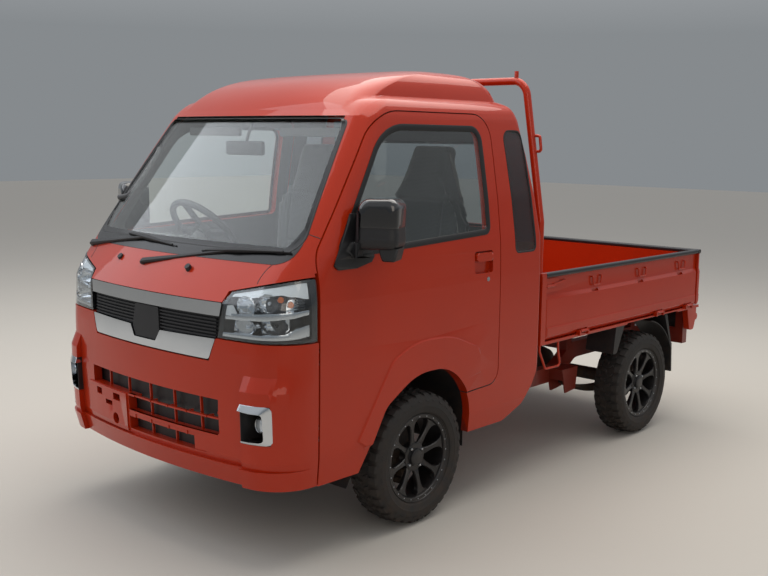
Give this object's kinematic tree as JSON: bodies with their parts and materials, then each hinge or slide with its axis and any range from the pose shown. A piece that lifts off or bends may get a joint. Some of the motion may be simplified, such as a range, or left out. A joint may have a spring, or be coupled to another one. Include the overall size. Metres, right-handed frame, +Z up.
{
  "type": "kei pickup truck",
  "caption": "Small cab-over pickup truck with a long high-roof cab, opening doors, drop-side load bed, guard frame, steered front wheels and rolling tyres.",
  "frame": {"origin": "on the ground, at the middle of the truck's length and width", "axes": "+X to the truck's left, +Y to its rear, so that it drives towards -Y, +Z up"},
  "size_m": [1.8216, 3.3958, 1.9319],
  "materials": {
    "body_paint": "gloss",
    "black_rail": "satin",
    "tyre_rubber": "matte",
    "rim_black": "satin",
    "clear_glass": "gloss",
    "tinted_glass": "gloss",
    "bright_chrome": "polished",
    "lamp_lens": "gloss",
    "black_plastic": "matte",
    "seat_fabric": "matte",
    "cab_trim": "matte",
    "chassis_steel": "matte",
    "lamp_red": "gloss"
  },
  "bodies": {
    "chassis": {"frame_rails": "body_paint", "cab_floor": "cab_trim", "side_frame_left": "body_paint", "side_frame_right": "body_paint", "roof_panel": "body_paint", "back_panel": "body_paint", "front_panel": "body_paint", "bumper": "body_paint", "grille": "black_plastic", "chrome_trim": "bright_chrome", "headlamps": "lamp_lens", "fog_lamps": "black_plastic", "windshield": "clear_glass", "cab_glass": "tinted_glass", "wipers": "black_plastic", "door_hinges": "chassis_steel", "dashboard": "cab_trim", "seat_left": "seat_fabric", "seat_right": "seat_fabric", "bed": "body_paint", "guard_frame": "body_paint", "tail_lamps": "lamp_red", "rear_axle": "chassis_steel", "leaf_springs": "chassis_steel", "engine": "chassis_steel", "mud_guards": "black_plastic", "front_suspension": "chassis_steel"},
    "door_left": {"door_panel_left": "body_paint", "door_glass_left": "clear_glass", "mirror_left": "black_plastic"},
    "door_right": {"door_panel_right": "body_paint", "door_glass_right": "clear_glass", "mirror_right": "black_plastic"},
    "gate_left": {"side_gate_left": "body_paint", "gate_rail_left": "black_rail"},
    "gate_right": {"side_gate_right": "body_paint", "gate_rail_right": "black_rail"},
    "gate_rear": {"tailgate": "body_paint", "tailgate_rail": "black_rail"},
    "steering_hand_wheel": {"steering_wheel": "black_plastic"},
    "steer_left": {"knuckle_left": "chassis_steel"},
    "steer_right": {"knuckle_right": "chassis_steel"},
    "wheel_front_left": {"tyre_front_left": "tyre_rubber", "rim_front_left": "rim_black"},
    "wheel_front_right": {"tyre_front_right": "tyre_rubber", "rim_front_right": "rim_black"},
    "wheel_rear_left": {"tyre_rear_left": "tyre_rubber", "rim_rear_left": "rim_black"},
    "wheel_rear_right": {"tyre_rear_right": "tyre_rubber", "rim_rear_right": "rim_black"}
  },
  "joints": [
    {"name": "steering_wheel_turn", "type": "hinge", "parent": "chassis", "child": "steering_hand_wheel", "pos_m": [-0.34, -1.13, 1.182], "axis": [0, 0.7547, 0.6561], "range_deg": [-630, 630]},
    {"name": "steer_left", "type": "hinge", "parent": "chassis", "child": "steer_left", "pos_m": [0.628, -0.84, 0.17], "axis": [-0.2155, 0, 0.9765], "range_deg": [-35, 35]},
    {"name": "steer_right", "type": "hinge", "parent": "chassis", "child": "steer_right", "pos_m": [-0.628, -0.84, 0.17], "axis": [0.2155, 0, 0.9765], "range_deg": [-35, 35]},
    {"name": "wheel_front_left_spin", "type": "hinge", "parent": "steer_left", "child": "wheel_front_left", "pos_m": [0.65, -0.84, 0.285], "axis": [1, 0, 0], "continuous": true},
    {"name": "wheel_rear_left_spin", "type": "hinge", "parent": "chassis", "child": "wheel_rear_left", "pos_m": [0.65, 1.06, 0.285], "axis": [1, 0, 0], "continuous": true},
    {"name": "door_left_hinge", "type": "hinge", "parent": "chassis", "child": "door_left", "pos_m": [0.726, -1.419, 0.665], "axis": [0, 0, -1], "range_deg": [0, 70]},
    {"name": "gate_left_hinge", "type": "hinge", "parent": "chassis", "child": "gate_left", "pos_m": [0.742, 0.85, 0.672], "axis": [0, 1, 0], "range_deg": [0, 170]},
    {"name": "wheel_front_right_spin", "type": "hinge", "parent": "steer_right", "child": "wheel_front_right", "pos_m": [-0.65, -0.84, 0.285], "axis": [1, 0, 0], "continuous": true},
    {"name": "wheel_rear_right_spin", "type": "hinge", "parent": "chassis", "child": "wheel_rear_right", "pos_m": [-0.65, 1.06, 0.285], "axis": [1, 0, 0], "continuous": true},
    {"name": "door_right_hinge", "type": "hinge", "parent": "chassis", "child": "door_right", "pos_m": [-0.726, -1.419, 0.665], "axis": [0, 0, 1], "range_deg": [0, 70]},
    {"name": "gate_right_hinge", "type": "hinge", "parent": "chassis", "child": "gate_right", "pos_m": [-0.742, 0.85, 0.672], "axis": [0, -1, 0], "range_deg": [0, 170]},
    {"name": "gate_rear_hinge", "type": "hinge", "parent": "chassis", "child": "gate_rear", "pos_m": [0, 1.69, 0.672], "axis": [-1, 0, 0], "range_deg": [0, 170]}
  ],
  "couplings": [
    {"joint": "steer_left", "follows": "steering_wheel_turn", "ratio": 0.0555},
    {"joint": "steer_right", "follows": "steering_wheel_turn", "ratio": 0.0555}
  ]
}
